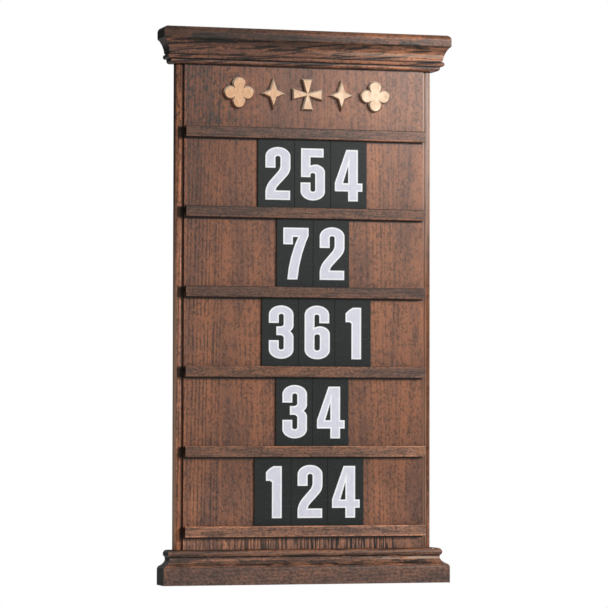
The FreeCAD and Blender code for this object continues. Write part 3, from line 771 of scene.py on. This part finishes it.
def traced_figure(outlines):
    """A flat figure in the board's upright plane, filled, with its white edge inset."""
    shape = bmesh.new()
    for outline in outlines:
        tip = shape.verts.new(outline_point(*outline[0]))
        for across, rise, *bend in [*outline[1:], outline[0]]:
            step = outline_point(across, rise) - tip.co
            if step.length < no_length:
                continue
            if not bend:
                tip = bmesh.ops.extrude_vert_indiv(shape, verts=[tip])["verts"][0]
                tip.co += step
            else:
                turn = math.radians(bend[0])
                left = Vector((-step.z, 0, step.x))
                centre = tip.co + step / 2 + left / 2 / math.tan(turn / 2)
                arc_steps = max(fewest_steps, round(abs(bend[0]) / arc_step))
                made = bmesh.ops.spin(
                    shape, geom=[tip], cent=centre, axis=(0, -1, 0), angle=turn, steps=arc_steps,
                    use_merge=False, use_duplicate=False,
                )
                tip = [piece for piece in made["geom_last"] if isinstance(piece, bmesh.types.BMVert)][0]
    bmesh.ops.remove_doubles(shape, verts=shape.verts, dist=merge_reach)
    bmesh.ops.scale(shape, verts=shape.verts, vec=(1, 1, figure_squeeze))
    bmesh.ops.triangle_fill(shape, edges=shape.edges, use_beauty=True, use_dissolve=False, normal=(0, -1, 0))
    for face in shape.faces:
        if face.normal.y > 0:
            face.normal_flip()
    rim = bmesh.ops.inset_region(
        shape, faces=shape.faces, thickness=figure_edge, use_boundary=True, use_even_offset=True
    )
    white = set(rim["faces"])
    for face in shape.faces:
        face.material_index = 0 if face in white else 1
    low = min(vert.co.x for vert in shape.verts)
    high = max(vert.co.x for vert in shape.verts)
    bmesh.ops.translate(shape, verts=shape.verts, vec=(-(low + high) / 2, 0, 0))
    return shape


def ink(name, full, thin):
    """Screen-printed ink, a little uneven, with a trace of the card's tooth."""
    finish = new_finish(name)
    uneven = marks(finish, (160, 160, 120), 0.35, 0.70, 3, 0.6)
    tooth = marks(finish, (1100, 1100, 1100), 0.50, 0.75)
    colour = over(product(uneven, 0.8), full, thin)
    connect(shader_of(finish), {
        "Base Color": over(product(tooth, 0.12), colour, card_grey),
        "Roughness": reckon("ADD", 0.46, product(tooth, 0.14)),
        "Normal": relief(tooth, 0.3, 0.00003),
    })
    return finish


ink_white = ink("ink_white", tint(250, 251, 253), tint(243, 243, 249))
ink_grey = ink("ink_grey", tint(221, 221, 233), tint(211, 211, 225))

for card_name, (figure, aside) in hung_numbers.items():
    low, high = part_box(card_name)
    shape = traced_figure(figure_outlines[figure])
    middle = (low.x + high.x) / 2 + aside / millimetres_to_a_metre
    foot = low.z + card_foot_hidden + figure_foot
    bmesh.ops.translate(shape, verts=shape.verts, vec=(middle, low.y, foot))
    body = bmesh.ops.extrude_face_region(shape, geom=shape.faces[:], use_keep_orig=True)
    raised = [piece for piece in body["geom"] if isinstance(piece, bmesh.types.BMVert)]
    bmesh.ops.translate(shape, verts=raised, vec=(0, -ink_height, 0))
    bmesh.ops.recalc_face_normals(shape, faces=shape.faces)
    figure_mesh = bpy.data.meshes.new("figure_" + card_name)
    shape.to_mesh(figure_mesh)
    shape.free()
    figure_mesh.materials.append(ink_white)
    figure_mesh.materials.append(ink_grey)
    printed = bpy.data.objects.new("figure_" + card_name.replace("_card_", "_"), figure_mesh)
    scene.collection.objects.link(printed)
    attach(printed, card_name)


# The gilt ornaments. Five pieces cut from thin board with bevelled edges and gilded, glued to the header. The
# leaf is crumpled and rubbed through to the bole in spots. It is painted darker to the left and lighter to
# the right as the light falls, painted shade darkens its bevelled slopes, and painted light brightens the
# slopes that look up.
leaf_shade = tint(196, 150, 110)
leaf_light = tint(222, 194, 164)
leaf_bright_and_highlight = tint(246, 226, 200)
leaf_bole_and_shade = tint(92, 56, 40)

gilt = new_finish("gilt")
gilt_facing = spread(gilt, "Normal")
crumple = marks(gilt, (150, 150, 120), 0.35, 0.68, 3, 0.6)
creases = marks(gilt, (320, 320, 320), 0.56, 0.64, 2)
bole_spots = marks(gilt, (260, 260, 200), 0.60, 0.70, 3, 0.65)
slope = band(gilt_facing["Y"], -0.93, -0.75)
lit_slope = product(slope, band(gilt_facing["Z"], -0.15, 0.35))
# Painted light: the leaf is darker on the ornaments to the left and lighter to the right
leaf = over(band(spread(gilt)["X"], -0.12, 0.12), leaf_shade, leaf_light)
leaf = over(product(crumple, 0.30), leaf, leaf_shade)
leaf = over(product(creases, 0.30), leaf, leaf_bright_and_highlight)
leaf = over(product(bole_spots, 0.30), leaf, leaf_bole_and_shade)
# Painted shade darkens the bevelled slopes, and painted light brightens those that look up
leaf = over(product(slope, 0.80), leaf, leaf_bole_and_shade)
leaf = over(product(lit_slope, 0.85), leaf, leaf_bright_and_highlight)
connect(shader_of(gilt), {
    "Base Color": leaf,
    "Metallic": 0.2,
    "Roughness": reckon("ADD", 0.36, product(crumple, 0.18)),
    "Normal": relief(reckon("ADD", crumple, product(creases, 0.5)), 0.3, 0.0003),
})
dress(gilt, "quatrefoil_left", "star_left", "cross_centre", "star_right", "quatrefoil_right")


# The hangers and the fixings. Two steel keyhole plates let into the back, and zinc-plated steel screws and
# pins. The rolled steel shows fine lines, and the plating is tarnished in spots.
steel_light = tint(186, 187, 186)
steel_line = tint(150, 150, 149)
steel_tarnish = tint(122, 112, 98)

steel = new_finish("steel")
rolled = marks(steel, (1600, 1600, 60), 0.35, 0.65)
tarnish = marks(steel, (140, 140, 140), 0.50, 0.70, 3, 0.65)
zinc = over(product(rolled, 0.25), steel_light, steel_line)
zinc = over(product(tarnish, 0.55), zinc, steel_tarnish)
connect(shader_of(steel), {
    "Base Color": zinc,
    "Metallic": 1.0,
    "Roughness": reckon("ADD", 0.30, product(tarnish, 0.30)),
    "Normal": relief(rolled, 0.25, 0.00005),
})
dress(steel, "hanger_plate_left", "hanger_plate_right", "hanger_screws")
dress(steel, "rail_screws", "cornice_screws", "base_screws", "return_pins")
